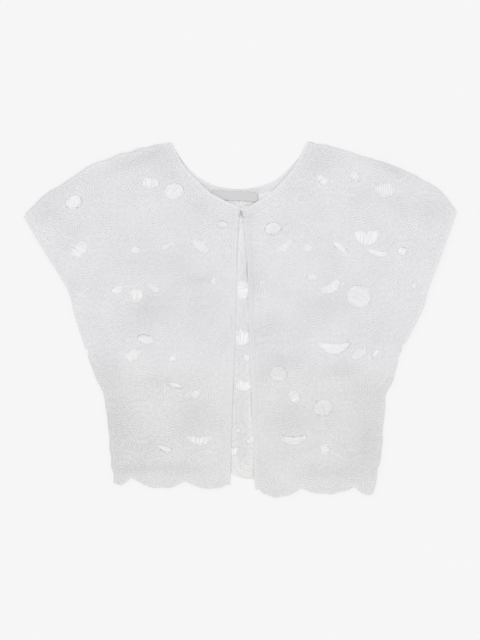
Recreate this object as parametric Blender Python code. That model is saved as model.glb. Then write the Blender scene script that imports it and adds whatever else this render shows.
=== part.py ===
"""A cropped crochet cardigan in white cotton lace, laid flat with its fronts upwards.

The cloth lies in the XY plane with the neck towards +Y and the hem towards -Y, and rests on z = 0.
Sizes in the tables are millimetres, measured across (+X) and up (+Y) from the middle of the garment.
Left and right are the wearer's, so the left front lies at +X.
"""

import math
from collections import namedtuple

import bpy
from mathutils import Vector
from mathutils.geometry import delaunay_2d_cdt

MM = 0.001

# Driving dimensions, in millimetres
WALL = 2.4
SEAM_GAP = 0.3
STEP = 13.0
SCALLOP_STEPS = 7
SHORT_SCALLOP = 40.0
SHORT_SCALLOP_STEPS = 3
EDGE_ROUND = 0.8
GAP_ROUND = 0.5
SHARP_ANGLE = math.radians(40)

# Edgings: the neck band slopes down to the front edge, and its roll is flat where a front lies on it
NECK_BAND_WIDTH = 11.0
FRONT_EDGING_WIDTH = 5.5
ARMHOLE_EDGING_WIDTH = 4.5
NECK_SLOPE = 0.5
NECK_MITRE = 0.1
BAND_SLOPE = 1.14
NECK_MIDDLE = -4.0
NECK_SHOWN = 62.0
NECK_ROLL = 0.7
EDGING_ROLL = 0.4
CORNER_ROOM = 4.0

LABEL_WIDE = 73.0
LABEL_HIGH = 17.5
LABEL_THICK = 0.6
LABEL_ACROSS = -9.0
LABEL_UP = 190.5
LABEL_MARGIN = 5.0
LABEL_EASE = 18.0
LABEL_ROUND = 0.5

WIRE = 1.0
WIRE_SEGMENTS = 2

# The lace repeats in round wheels, each row set back from the one above it.
WHEEL_PITCH = 76.7
WHEEL_ROW_SHIFT = -31.0
WHEEL_ROW_DROP = 79.0
WHEEL_REACH = 34.0
WHEEL_RIB_RADIUS = 20.0
WHEEL_HUB_RADIUS = 8.0
WHEEL_RIBS = 8
WHEEL_RIM_POINTS = 12
WHEEL_RIM_TURN = 0.2
WHEEL_ROWS = range(-2, 8)
WHEEL_COLUMNS = range(-10, 11)
HUB_HEIGHT = 1.2
RIB_HEIGHT = 1.0
VALLEY_HEIGHT = 0.3
FIRST_WHEEL = {"right_front": (-152.0, 231.0), "left_front": (165.0, 241.0), "back": (-120.0, 250.0)}

# A small arch stands where three wheels meet, unless a larger gap is near it.
ARCH_WIDE = 9.0
ARCH_HIGH = 6.5
ARCH_CLEARANCE = 26.0
ARCH_FROM_EDGE = 10.0
ARCH_POINTS = 6
GAP_POINTS = 10
BOWED_GAP_POINTS = 14
GAP_WIDER_BEHIND = 1.12
UPPER_POINT_ROOM = 2.0
UNDER_POINT_ROOM = 4.0

Gap = namedtuple("Gap", "across up wide high turn bow open_behind")
Scallop = namedtuple("Scallop", "start_across start_up end_across end_up sag")
Fold = namedtuple("Fold", "across up long wide turn height")

# Outline chains: across, up
BACK_NECK = (
    (-107.5, 275.0), (-86.7, 242.7), (-68.6, 224.0), (-40.7, 208.5), (-7.1, 202.4),
    (21.3, 204.9), (54.6, 216.7), (78.4, 238.1), (94.9, 257.0), (103.5, 274.8),
)
LEFT_NECK = (
    (103.5, 274.8), (86.4, 239.5), (67.8, 214.7), (46.1, 194.5), (27.5, 182.1), (13.6, 174.4), (4.3, 170.2),
)
RIGHT_NECK = (
    (-107.5, 275.0), (-87.2, 236.4), (-67.0, 214.7), (-45.3, 194.5), (-28.3, 185.2), (-12.8, 178.5),
    (-0.9, 173.0),
)
LEFT_SHOULDER = (
    (103.5, 274.8), (144.8, 268.0), (187.2, 254.7), (234.9, 238.1), (281.0, 218.5), (314.5, 195.5),
    (336.0, 167.0),
)
RIGHT_SHOULDER = (
    (-107.5, 275.0), (-144.7, 267.5), (-182.7, 257.5), (-230.1, 239.4), (-277.5, 210.6), (-305.9, 190.7),
    (-336.0, 159.5),
)
LEFT_ARMHOLE = ((336.0, 167.0), (312.5, 100.4), (293.5, 51.0), (283.0, 15.0), (256.0, -37.2))
RIGHT_ARMHOLE = (
    (-336.0, 159.5), (-321.5, 133.6), (-298.0, 95.6), (-267.5, 45.0), (-258.5, 11.0), (-241.0, -44.0),
)
LEFT_SIDE = (
    (256.0, -37.2), (246.0, -56.1), (234.0, -98.9), (225.0, -119.8), (219.5, -188.9), (215.5, -222.3),
    (206.0, -271.0),
)
RIGHT_SIDE = (
    (-241.0, -44.0), (-230.0, -73.0), (-219.0, -97.0), (-210.5, -120.0), (-205.5, -150.0), (-200.5, -212.7),
    (-195.5, -254.0),
)
LEFT_FRONT_EDGE = ((4.3, 170.2), (8.9, 123.0), (13.2, 61.0), (14.5, -32.0), (19.0, -125.0), (23.8, -262.0))
RIGHT_FRONT_EDGE = ((-0.9, 173.0), (-5.5, 123.0), (-6.8, 61.0), (-8.9, -32.0), (-12.8, -125.0), (-16.5, -255.4))

# Hem scallops, from one notch to the next
LEFT_HEM = (
    Scallop(23.8, -262.0, 94.9, -260.1, 14.1),
    Scallop(94.9, -260.1, 177.9, -257.8, 11.5),
    Scallop(177.9, -257.8, 206.0, -271.0, 5.0),
)
RIGHT_HEM = (
    Scallop(-16.5, -255.4, -85.3, -250.6, 9.0),
    Scallop(-85.3, -250.6, -168.4, -243.5, 14.0),
    Scallop(-168.4, -243.5, -195.5, -254.0, 6.0),
)
BACK_HEM = (
    Scallop(-195.5, -254.0, -166.0, -234.0, 2.0),
    Scallop(-166.0, -234.0, -95.0, -236.0, 9.0),
    Scallop(-95.0, -236.0, -25.0, -231.0, 9.0),
    Scallop(-25.0, -231.0, 50.0, -238.0, 12.5),
    Scallop(50.0, -238.0, 125.0, -243.0, 11.0),
    Scallop(125.0, -243.0, 180.0, -250.0, 6.0),
    Scallop(180.0, -250.0, 206.0, -271.0, 2.0),
)

# Large gaps in the lace: middle, size, turn in degrees, bow, whether the back is open behind
RIGHT_FRONT_GAPS = (
    Gap(-140, 212, 28, 18, 0, 0, True),
    Gap(-103, 199, 32, 25, 10, 0, False),
    Gap(-258, 182, 28, 22, 20, 0, False),
    Gap(-249, 108, 34, 20, 55, 0, True),
    Gap(-163, 108, 16, 12, 0, 0, False),
    Gap(-112, 115, 26, 9, 25, 0, True),
    Gap(-63, 115, 34, 17, -35, 0, True),
    Gap(-28, 148, 18, 11, 0, 0, False),
    Gap(-191, 46, 19, 12, 15, 0, False),
    Gap(-163, 38, 25, 24, 0, 0, True),
    Gap(-135, 50, 24, 12, -35, 0, True),
    Gap(-41, 60, 14, 12, 0, 0, True),
    Gap(-166, -54, 30, 18, 20, 3, True),
    Gap(-147, -30, 27, 14, -10, 0, False),
    Gap(-105, -61, 14, 10, 0, 0, False),
    Gap(-101, -102, 26, 9, -15, 0, False),
    Gap(-67, -114, 23, 12, 35, 0, True),
    Gap(-63, -185, 44, 13, 0, 7, True),
    Gap(-117, -199, 26, 9, -20, 4, False),
)
LEFT_FRONT_GAPS = (
    Gap(128, 216, 26, 12, -40, 0, True),
    Gap(178, 222, 22, 16, -50, 0, True),
    Gap(223, 201, 34, 23, 0, 0, True),
    Gap(51, 141, 28, 20, 10, 0, False),
    Gap(69, 115, 34, 13, 35, 5, True),
    Gap(103, 111, 16, 14, 0, 0, True),
    Gap(155, 112, 30, 10, -35, 0, False),
    Gap(196, 130, 42, 22, 0, 8, True),
    Gap(214, 104, 34, 9, -10, 4, False),
    Gap(251, 106, 16, 14, 0, 0, False),
    Gap(112, 66, 20, 9, 0, 0, True),
    Gap(140, 51, 36, 15, 30, 5, True),
    Gap(184, 36, 38, 36, 0, 0, False),
    Gap(270, 55, 15, 9, 70, 0, True),
    Gap(146, -41, 52, 16, 0, 10, False),
    Gap(184, -52, 28, 16, 30, 0, True),
    Gap(209, -53, 19, 8, 60, 0, False),
    Gap(59, -84, 28, 24, 0, 0, False),
    Gap(83, -119, 22, 17, -40, 0, True),
    Gap(128, -137, 30, 26, 0, 0, False),
    Gap(82, -184, 44, 14, 0, 8, False),
    Gap(130, -201, 15, 20, 0, 0, True),
)
# Gaps of the back that show between the fronts
BACK_GAPS = (
    Gap(3, 46, 24, 30, 0, 0, True),
    Gap(2, -28, 26, 26, 0, 0, True),
    Gap(14, -58, 22, 12, 0, 4, True),
    Gap(4, -102, 26, 18, 0, 0, True),
    Gap(-12, -202, 22, 14, 0, 4, True),
    Gap(18, -186, 20, 12, 30, 0, True),
)

# Soft ridges where the fronts don't lie quite flat, turned in degrees
FOLDS = (
    Fold(-262, 140, 95, 26, 58, 2.6),
    Fold(262, 150, 95, 28, -55, 2.8),
    Fold(-105, 150, 80, 24, -20, 1.6),
    Fold(112, 165, 85, 24, 25, 1.8),
    Fold(-185, -15, 80, 22, -25, 2.2),
    Fold(205, 5, 80, 22, 35, 2.4),
    Fold(-120, -150, 75, 24, 15, 1.8),
    Fold(95, -150, 80, 24, -20, 1.8),
    Fold(-50, 10, 85, 20, 80, 1.4),
    Fold(55, -30, 90, 20, -75, 1.5),
)

# The hook and eye at the top of the opening: across, up, height of the wire's middle
EYE_ROUTE = (
    (5.0, 158.4, 4.6), (2.9, 158.6, 4.6), (1.2, 159.8, 4.6), (0.5, 161.6, 4.6),
    (0.5, 163.4, 4.6), (1.2, 165.2, 4.6), (2.9, 166.4, 4.6), (4.4, 166.6, 4.6),
)
HOOK_ROUTE = (
    (-1.5, 162.5, 4.3), (-0.9, 162.5, 5.4), (0.2, 162.5, 5.95), (1.5, 162.5, 5.9), (2.4, 162.5, 5.3),
    (2.7, 162.5, 4.6), (2.4, 162.5, 3.9), (1.6, 162.5, 3.4), (0.7, 162.5, 3.25),
)


def smooth_chain(points, step=STEP):
    """A curve through all the points, with a point about every step."""
    knots = [Vector(point) for point in points]
    first = 2 * knots[0] - knots[1]
    last = 2 * knots[-1] - knots[-2]
    knots = [first] + knots + [last]
    chain = []
    for i in range(1, len(knots) - 2):
        before, start, end, after = knots[i - 1 : i + 3]
        parts = max(1, round((end - start).length / step))
        for part in range(parts):
            t = part / parts
            bend = (end - before) * t
            bend += (2 * before - 5 * start + 4 * end - after) * t * t
            bend += (3 * start - before - 3 * end + after) * t**3
            chain.append(start + bend / 2)
    chain.append(knots[-2])
    return chain


def scalloped_chain(rows):
    """The hem's edge: one shallow arc from each notch to the next."""
    chain = []
    for row in rows:
        start = Vector((row.start_across, row.start_up))
        end = Vector((row.end_across, row.end_up))
        steps = SCALLOP_STEPS if (end - start).length > SHORT_SCALLOP else SHORT_SCALLOP_STEPS
        for i in range(steps):
            t = i / steps
            drop = row.sag * math.sin(math.pi * t) ** 0.8
            chain.append(start.lerp(end, t) - Vector((0, drop)))
    chain.append(end)
    return chain


def chain_normals(chain, side, start_way=None, end_way=None):
    """Inward vectors along a chain, scaled so that a strip keeps its width at a mitred end."""
    normals = []
    last = len(chain) - 1
    for i in range(len(chain)):
        along = (chain[min(i + 1, last)] - chain[max(i - 1, 0)]).normalized()
        normal = Vector((-along.y, along.x)) * side
        way = start_way if i == 0 else end_way if i == last else None
        if way is not None:
            way = Vector(way).normalized()
            normal = way / way.dot(normal)
        normals.append(normal)
    return normals


def moved_in(chain, normals, distance):
    return [point + normal * distance for point, normal in zip(chain, normals)]


def label_rise(across, up):
    """How far a front lifts where it lies over the label: all the way a little beyond it, then less."""
    beside = abs(across - LABEL_ACROSS) - LABEL_WIDE / 2
    above = abs(up - LABEL_UP) - LABEL_HIGH / 2
    beyond = max(beside, above, LABEL_MARGIN) - LABEL_MARGIN
    near = max(0.0, 1 - beyond / LABEL_EASE)
    return (LABEL_THICK + SEAM_GAP) * near * near * (3 - 2 * near)


def fold_rise(across, up):
    """How far the soft ridges lift a front."""
    rise = 0.0
    for fold in FOLDS:
        angle = math.radians(fold.turn)
        east = across - fold.across
        north = up - fold.up
        along = (east * math.cos(angle) + north * math.sin(angle)) / fold.long
        aside = (north * math.cos(angle) - east * math.sin(angle)) / fold.wide
        rise += fold.height * math.exp(-along * along - aside * aside)
    return rise


def front_base(across, up):
    """The underside of the fronts, just above the back."""
    return WALL + SEAM_GAP + label_rise(across, up) + fold_rise(across, up)


def back_base(across, up):
    """The underside of the back, flat on the surface below."""
    return 0.0


def gap_ring(gap, grow=0.0):
    """The edge of an oval gap, bowed like a smile where its bow is above nought."""
    points = BOWED_GAP_POINTS if gap.bow else GAP_POINTS
    if gap.wide <= ARCH_WIDE:
        points = ARCH_POINTS
    angle = math.radians(gap.turn)
    ring = []
    for i in range(points):
        part = 2 * math.pi * i / points
        east = (gap.wide / 2 + grow) * math.cos(part)
        north = (gap.high / 2 + grow) * math.sin(part)
        north += gap.bow * (math.cos(part) ** 2 - 0.5)
        x = gap.across + east * math.cos(angle) - north * math.sin(angle)
        y = gap.up + east * math.sin(angle) + north * math.cos(angle)
        ring.append(Vector((x, y)))
    return ring


def inside(point, ring):
    found = False
    for i, corner in enumerate(ring):
        before = ring[i - 1]
        if (corner.y > point.y) != (before.y > point.y):
            crossing = corner.x + (point.y - corner.y) * (before.x - corner.x) / (before.y - corner.y)
            if point.x < crossing:
                found = not found
    return found


def distance_to_ring(point, ring):
    nearest = math.inf
    for i, corner in enumerate(ring):
        start = ring[i - 1]
        run = corner - start
        t = max(0.0, min(1.0, (point - start).dot(run) / run.length_squared))
        nearest = min(nearest, (start + run * t - point).length)
    return nearest


def wheel_centres(name, outline):
    """The middles of all the wheels that reach into a panel."""
    first = Vector(FIRST_WHEEL[name])
    centres = []
    for row in WHEEL_ROWS:
        for column in WHEEL_COLUMNS:
            centre = first + Vector((column * WHEEL_PITCH + row * WHEEL_ROW_SHIFT, -row * WHEEL_ROW_DROP))
            if inside(centre, outline) or distance_to_ring(centre, outline) < WHEEL_REACH:
                centres.append(centre)
    return centres


def small_arches(centres, outline, gaps):
    """Small gaps where three wheels meet."""
    meetings = (
        (WHEEL_PITCH + (WHEEL_PITCH + WHEEL_ROW_SHIFT), WHEEL_ROW_DROP),
        (WHEEL_PITCH + 2 * WHEEL_ROW_SHIFT, 2 * WHEEL_ROW_DROP),
    )
    rows = []
    for centre in centres:
        for east, drop in meetings:
            place = centre + Vector((east, -drop)) / 3
            if not inside(place, outline) or distance_to_ring(place, outline) < ARCH_FROM_EDGE:
                continue
            if any((place - Vector((gap.across, gap.up))).length < ARCH_CLEARANCE for gap in gaps):
                continue
            rows.append(Gap(place.x, place.y, ARCH_WIDE, ARCH_HIGH, 0, 0, True))
    return rows


def wheel_points(centres, radius, count, height, other_height, start=0.0):
    """Ring points of every wheel with their heights, high and low by turns."""
    rows = []
    for centre in centres:
        for i in range(count):
            angle = start + 2 * math.pi * i / count
            place = centre + radius * Vector((math.cos(angle), math.sin(angle)))
            rows.append((place, height if i % 2 == 0 else other_height))
    return rows


def raised_points(centres):
    """The hub and the ribs of each wheel and its low rim, with their heights above the wall."""
    rows = [(centre, HUB_HEIGHT) for centre in centres]
    rows += wheel_points(centres, WHEEL_HUB_RADIUS, WHEEL_RIBS, HUB_HEIGHT, HUB_HEIGHT)
    rows += wheel_points(centres, WHEEL_RIB_RADIUS, 2 * WHEEL_RIBS, RIB_HEIGHT, VALLEY_HEIGHT)
    return rows + rim_points(centres)


def rim_points(centres):
    return wheel_points(centres, WHEEL_REACH, WHEEL_RIM_POINTS, 0.0, 0.0, WHEEL_RIM_TURN)


def clear_rows(rows, rings, room):
    """The points that are in the cloth, with room to its edge and to each gap."""
    found = []
    for place, height in rows:
        if not inside(place, rings[0]) or any(inside(place, ring) for ring in rings[1:]):
            continue
        if all(distance_to_ring(place, ring) > room for ring in rings):
            found.append((place, height))
    return found


def triangulated(rings, loose):
    """Triangles between the outline and the gaps, by place in the list of all points."""
    points = [point for ring in rings for point in ring] + list(loose)
    edges = []
    start = 0
    for ring in rings:
        edges += [(start + i, start + (i + 1) % len(ring)) for i in range(len(ring))]
        start += len(ring)
    found, _, faces, origins, _, _ = delaunay_2d_cdt(points, edges, [], 0, 1e-5)
    if any(not origin for origin in origins):
        raise ValueError("two edges of a panel cross")
    triangles = []
    for face in faces:
        middle = sum((found[i] for i in face), Vector((0, 0))) / 3
        if inside(middle, rings[0]) and not any(inside(middle, ring) for ring in rings[1:]):
            triangles.append([origins[i][0] for i in face])
    return points, triangles


def new_material(name, colour, roughness, metallic=0.0):
    material = bpy.data.materials.new(name)
    material.use_nodes = True
    shader = material.node_tree.nodes["Principled BSDF"]
    shader.inputs["Base Color"].default_value = (*colour, 1)
    shader.inputs["Roughness"].default_value = roughness
    shader.inputs["Metallic"].default_value = metallic
    material.diffuse_color = (*colour, 1)
    return material


def new_object(name, points, faces, material):
    """An object from points in millimetres."""
    mesh = bpy.data.meshes.new(name)
    mesh.from_pydata([Vector(point) * MM for point in points], [], faces)
    mesh.materials.append(material)
    mesh.shade_smooth()
    mesh.set_sharp_from_angle(angle=SHARP_ANGLE)
    obj = bpy.data.objects.new(name, mesh)
    bpy.context.scene.collection.objects.link(obj)
    return obj


def lace_panel(name, outline, gaps, base, wheels, material):
    """One closed panel: a plain underside, a raised upper side, and walls round the edge and each gap."""
    outline_normals = chain_normals([outline[-1]] + outline + [outline[0]], 1)[1:-1]
    lower_rings = [outline] + [gap_ring(gap) for gap in gaps]
    upper_rings = [moved_in(outline, outline_normals, EDGE_ROUND)]
    upper_rings += [gap_ring(gap, GAP_ROUND) for gap in gaps]
    raised = clear_rows(raised_points(wheels), upper_rings, UPPER_POINT_ROOM)
    flat = [(centre, 0.0) for centre in wheels] + rim_points(wheels)
    plain = clear_rows(flat, lower_rings, UNDER_POINT_ROOM)

    lower, lower_faces = triangulated(lower_rings, [place for place, _ in plain])
    upper, upper_faces = triangulated(upper_rings, [place for place, _ in raised])
    ring_total = sum(len(ring) for ring in lower_rings)
    heights = [0.0] * ring_total + [height for _, height in raised]
    points = [(p.x, p.y, base(p.x, p.y)) for p in lower]
    points += [(p.x, p.y, base(p.x, p.y) + WALL + h) for p, h in zip(upper, heights)]
    above = len(lower)
    faces = [face[::-1] for face in lower_faces]
    faces += [[above + i for i in face] for face in upper_faces]
    start = 0
    for number, ring in enumerate(lower_rings):
        for i in range(len(ring)):
            here = start + i
            there = start + (i + 1) % len(ring)
            wall = [here, there, above + there, above + here]
            faces.append(wall if number == 0 else wall[::-1])
        start += len(ring)
    return new_object(name, points, faces, material)


def strip_section(width, roll):
    """An edging's section as how far in from its outer edge and how high: a roll, then a flat part."""
    rolled = WALL + roll
    return (
        (0.5, 0.0), (0.0, 0.6), (0.0, 1.8), (0.6, rolled), (1.9, rolled),
        (2.7, WALL), (width - 0.5, WALL), (width, WALL - 0.5), (width, 0.0),
    )


def strip(name, chain, normals, width, base, roll, material):
    """A narrow edging along a chain: its outer edge is rolled, and it lies flat on its base."""
    size = len(strip_section(width, roll))
    points = []
    faces = []
    for number, (place, normal) in enumerate(zip(chain, normals)):
        covered = base is back_base and abs(place.x - NECK_MIDDLE) > NECK_SHOWN
        for across, rise in strip_section(width, 0.0 if covered else roll):
            spot = place + normal * across
            points.append((spot.x, spot.y, base(spot.x, spot.y) + rise))
        if number:
            start = (number - 1) * size
            for i in range(size):
                ahead = (i + 1) % size
                faces.append([start + i, start + ahead, start + size + ahead, start + size + i])
    last = len(points) - size
    faces.append(list(range(size))[::-1])
    faces.append([last + i for i in range(size)])
    if (chain[1] - chain[0]).cross(normals[0]) > 0:
        faces = [face[::-1] for face in faces]
    return new_object(name, points, faces, material)


def label(material):
    """The woven neck label: a flat tape with its edges a little rounded."""
    low = WALL + SEAM_GAP
    shape = ((0.0, low), (0.0, low + LABEL_THICK / 2), (LABEL_ROUND, low + LABEL_THICK))
    points = []
    for inset, height in shape:
        half_wide = LABEL_WIDE / 2 - inset
        half_high = LABEL_HIGH / 2 - inset
        for side_x, side_y in ((-1, -1), (1, -1), (1, 1), (-1, 1)):
            points.append((LABEL_ACROSS + side_x * half_wide, LABEL_UP + side_y * half_high, height))
    faces = [[3, 2, 1, 0], [8, 9, 10, 11]]
    for level in (0, 4):
        for i in range(4):
            ahead = (i + 1) % 4
            faces.append([level + i, level + ahead, level + 4 + ahead, level + 4 + i])
    return new_object("label", points, faces, material)


def wire(name, route, material):
    """A bent wire with closed ends."""
    curve = bpy.data.curves.new(name, "CURVE")
    curve.dimensions = "3D"
    curve.bevel_depth = WIRE / 2 * MM
    curve.bevel_resolution = WIRE_SEGMENTS
    curve.use_fill_caps = True
    spline = curve.splines.new("POLY")
    spline.points.add(len(route) - 1)
    for point, place in zip(spline.points, route):
        point.co = (*(Vector(place) * MM), 1)
    curve.materials.append(material)
    obj = bpy.data.objects.new(name, curve)
    bpy.context.scene.collection.objects.link(obj)
    return obj


def without_start(chain, distance):
    """The chain from a set distance along it."""
    gone = 0.0
    for i in range(1, len(chain)):
        length = (chain[i] - chain[i - 1]).length
        if gone + length > distance:
            start = chain[i - 1].lerp(chain[i], (distance - gone) / length)
            rest = chain[i:] if gone + length > distance + STEP / 4 else chain[i + 1 :]
            return [start] + rest
        gone += length
    return chain[-2:]


def make_side(side, sign, neck, shoulder, armhole, side_seam, front_edge, hem, gaps, cloth, trim):
    """One front, its edgings and the armhole edging behind it. It returns the edges that the back shares."""
    shoulder_chain = smooth_chain(shoulder)
    neck_way = shoulder_chain[1] - shoulder_chain[0]
    tip_way = shoulder_chain[-2] - shoulder_chain[-1]

    neck_chain = smooth_chain(neck)
    neck_normals = chain_normals(neck_chain, sign, neck_way, (sign * NECK_MITRE, -1))
    strip(f"{side}_neck_band", neck_chain, neck_normals, NECK_BAND_WIDTH, front_base, NECK_ROLL, trim)

    armhole_chain = smooth_chain(armhole)
    armhole_normals = chain_normals(armhole_chain, -sign, tip_way, (-sign, 0))
    for layer, base in (("front", front_base), ("back", back_base)):
        name = f"{side}_{layer}_armhole_edging"
        strip(name, armhole_chain, armhole_normals, ARMHOLE_EDGING_WIDTH, base, EDGING_ROLL, trim)

    below_band = NECK_BAND_WIDTH + SEAM_GAP
    edge_chain = without_start(smooth_chain(front_edge), below_band * BAND_SLOPE)
    edge_normals = chain_normals(edge_chain, sign, (sign, NECK_SLOPE), (sign, 0))
    name = f"{side}_front_edging"
    strip(name, edge_chain, edge_normals, FRONT_EDGING_WIDTH, front_base, EDGING_ROLL, trim)

    armhole_inner = moved_in(armhole_chain, armhole_normals, ARMHOLE_EDGING_WIDTH + SEAM_GAP)
    neck_inner = moved_in(neck_chain, neck_normals, below_band)
    edge_inner = moved_in(edge_chain, edge_normals, FRONT_EDGING_WIDTH + SEAM_GAP)
    side_chain = smooth_chain(side_seam)
    hem_chain = scalloped_chain(hem)

    shoulder_inner = [p for p in shoulder_chain if (p - shoulder_chain[0]).length > below_band + CORNER_ROOM]
    tip_room = ARMHOLE_EDGING_WIDTH + CORNER_ROOM
    shoulder_inner = [p for p in shoulder_inner if (p - shoulder_chain[-1]).length > tip_room]
    corner_across = sign * edge_inner[0].x + CORNER_ROOM
    hem_across = sign * edge_inner[-1].x + CORNER_ROOM
    outline = [point for point in neck_inner if sign * point.x > corner_across]
    outline += edge_inner
    outline += [point for point in hem_chain[1:-1] if sign * point.x > hem_across]
    outline += side_chain[::-1][:-1]
    outline += armhole_inner[::-1]
    outline += shoulder_inner[::-1]
    if sign < 0:
        outline = outline[::-1]
    name = f"{side}_front"
    wheels = wheel_centres(name, outline)
    arches = small_arches(wheels, outline, gaps)
    lace_panel(name, outline, list(gaps) + arches, front_base, wheels, cloth)
    return shoulder_inner, armhole_inner, side_chain


def make_back(left, right, cloth, trim):
    """The back and its neck band. It is open behind the fronts' open gaps and whole behind the others."""
    neck_chain = smooth_chain(BACK_NECK)
    right_way = smooth_chain(RIGHT_SHOULDER)[1] - neck_chain[0]
    left_way = smooth_chain(LEFT_SHOULDER)[1] - neck_chain[-1]
    neck_normals = chain_normals(neck_chain, -1, right_way, left_way)
    strip("back_neck_band", neck_chain, neck_normals, NECK_BAND_WIDTH, back_base, EDGING_ROLL, trim)
    neck_inner = moved_in(neck_chain, neck_normals, NECK_BAND_WIDTH + SEAM_GAP)

    left_shoulder, left_armhole, left_side = left
    right_shoulder, right_armhole, right_side = right
    outline = neck_inner + left_shoulder + left_armhole + left_side[1:]
    outline += scalloped_chain(BACK_HEM)[::-1][1:-1]
    outline += right_side[::-1][:-1] + right_armhole[::-1] + right_shoulder[::-1]
    outline = outline[::-1]
    gaps = list(BACK_GAPS)
    whole = []
    for gap in RIGHT_FRONT_GAPS + LEFT_FRONT_GAPS:
        if gap.open_behind:
            gaps.append(gap._replace(wide=gap.wide * GAP_WIDER_BEHIND, high=gap.high * GAP_WIDER_BEHIND))
        else:
            whole.append(gap)
    arches = small_arches(wheel_centres("back", outline), outline, gaps + whole)
    lace_panel("back", outline, gaps + arches, back_base, [], cloth)


def main():
    for obj in list(bpy.data.objects):
        bpy.data.objects.remove(obj)
    cloth = new_material("cotton_lace", (0.80, 0.80, 0.82), 0.85)
    trim = new_material("cotton_trim", (0.84, 0.84, 0.85), 0.8)
    tape = new_material("woven_label", (0.62, 0.62, 0.63), 0.6)
    steel = new_material("nickel_plated_wire", (0.55, 0.55, 0.56), 0.35, 1.0)

    left = make_side(
        "left", 1, LEFT_NECK, LEFT_SHOULDER, LEFT_ARMHOLE, LEFT_SIDE, LEFT_FRONT_EDGE, LEFT_HEM,
        LEFT_FRONT_GAPS, cloth, trim,
    )
    right = make_side(
        "right", -1, RIGHT_NECK, RIGHT_SHOULDER, RIGHT_ARMHOLE, RIGHT_SIDE, RIGHT_FRONT_EDGE, RIGHT_HEM,
        RIGHT_FRONT_GAPS, cloth, trim,
    )
    make_back(left, right, cloth, trim)
    label(tape)
    wire("neck_eye", EYE_ROUTE, steel)
    wire("neck_hook", HOOK_ROUTE, steel)


main()
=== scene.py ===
import math

import bpy
import numpy as np
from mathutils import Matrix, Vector
from mathutils.bvhtree import BVHTree
from mathutils.geometry import delaunay_2d_cdt
from mathutils.kdtree import KDTree


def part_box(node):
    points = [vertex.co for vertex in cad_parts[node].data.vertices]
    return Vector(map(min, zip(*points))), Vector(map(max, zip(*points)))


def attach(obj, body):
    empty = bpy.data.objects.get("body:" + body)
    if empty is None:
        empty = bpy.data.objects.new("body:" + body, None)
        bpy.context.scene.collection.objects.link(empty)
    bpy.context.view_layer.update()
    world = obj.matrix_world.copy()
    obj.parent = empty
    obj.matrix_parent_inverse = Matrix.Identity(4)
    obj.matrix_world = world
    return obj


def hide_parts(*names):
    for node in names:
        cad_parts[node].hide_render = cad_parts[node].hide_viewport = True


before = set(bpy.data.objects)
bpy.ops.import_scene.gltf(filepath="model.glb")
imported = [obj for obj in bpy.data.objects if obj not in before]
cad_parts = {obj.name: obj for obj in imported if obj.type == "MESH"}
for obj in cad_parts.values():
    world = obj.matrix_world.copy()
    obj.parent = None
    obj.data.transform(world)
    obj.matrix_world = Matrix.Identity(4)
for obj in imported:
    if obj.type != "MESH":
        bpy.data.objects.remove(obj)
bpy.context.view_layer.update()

MM = 0.001


# The table, the light and the camera. The garment lies on a white light table, so that hardly a shadow falls
# round it, under soft light with a little more from the upper left. The camera looks straight down.
def from_hex(code):
    """A colour from its sRGB hex value, as linear light."""
    channels = [int(code[i : i + 2], 16) / 255 for i in (0, 2, 4)]
    linear = [c / 12.92 if c <= 0.04045 else ((c + 0.055) / 1.055) ** 2.4 for c in channels]
    return (*linear, 1.0)


def set_inputs(node, inputs):
    """Sets a node's inputs, each to a value or to another node's output."""
    for name, value in inputs.items():
        if isinstance(value, bpy.types.NodeSocket):
            node.id_data.links.new(value, node.inputs[name])
        else:
            node.inputs[name].default_value = value


def add_node(tree, kind, inputs={}, **settings):
    """Adds a shader node with its settings and its inputs."""
    node = tree.nodes.new("ShaderNode" + kind)
    for name, value in settings.items():
        setattr(node, name, value)
    set_inputs(node, inputs)
    return node


def new_material(name):
    """A material, its tree and its Principled shader."""
    material = bpy.data.materials.new(name)
    material.use_nodes = True
    return material, material.node_tree, material.node_tree.nodes["Principled BSDF"]


VIEW_WIDE = 0.744
CAMERA_HIGH = 6.0
SENSOR = 36.0
TABLE_WIDE = 8.0
TABLE_TOP = -0.0003
WHITE = (1.0, 1.0, 1.0, 1.0)

bpy.ops.object.select_all(action="DESELECT")
bpy.ops.mesh.primitive_plane_add(size=TABLE_WIDE, location=(0, 0, TABLE_TOP))
table = bpy.context.object
table.name = "light_table"
bpy.ops.object.transform_apply(location=True)
# Opal acrylic, cast matt and lit from below. Its own glow takes most of the garment's shadow off it.
opal, _, opal_shader = new_material("opal_acrylic_lit_from_below")
set_inputs(opal_shader, {
    "Base Color": from_hex("747474"), "Roughness": 0.95, "Specular IOR Level": 0.1,
    "Emission Color": WHITE, "Emission Strength": 0.748,
})
table.data.materials.append(opal)

world = bpy.data.worlds.new("soft_light_all_round")
world.use_nodes = True
set_inputs(world.node_tree.nodes["Background"], {"Color": WHITE, "Strength": 0.91})
bpy.context.scene.world = world
bpy.ops.object.light_add(type="SUN", rotation=(math.radians(-48), 0, math.radians(38)))
window_light = bpy.context.object
window_light.data.energy = 0.4
window_light.data.angle = math.radians(35)

bpy.ops.object.camera_add(location=(-0.0004, -0.0008, CAMERA_HIGH), rotation=(0, 0, 0))
camera = bpy.context.object
camera.data.sensor_fit = "HORIZONTAL"
camera.data.sensor_width = SENSOR
camera.data.lens = SENSOR * CAMERA_HIGH / VIEW_WIDE
camera.data.clip_end = 20.0
bpy.context.scene.camera = camera
bpy.context.scene.view_settings.view_transform = "Standard"


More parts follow.
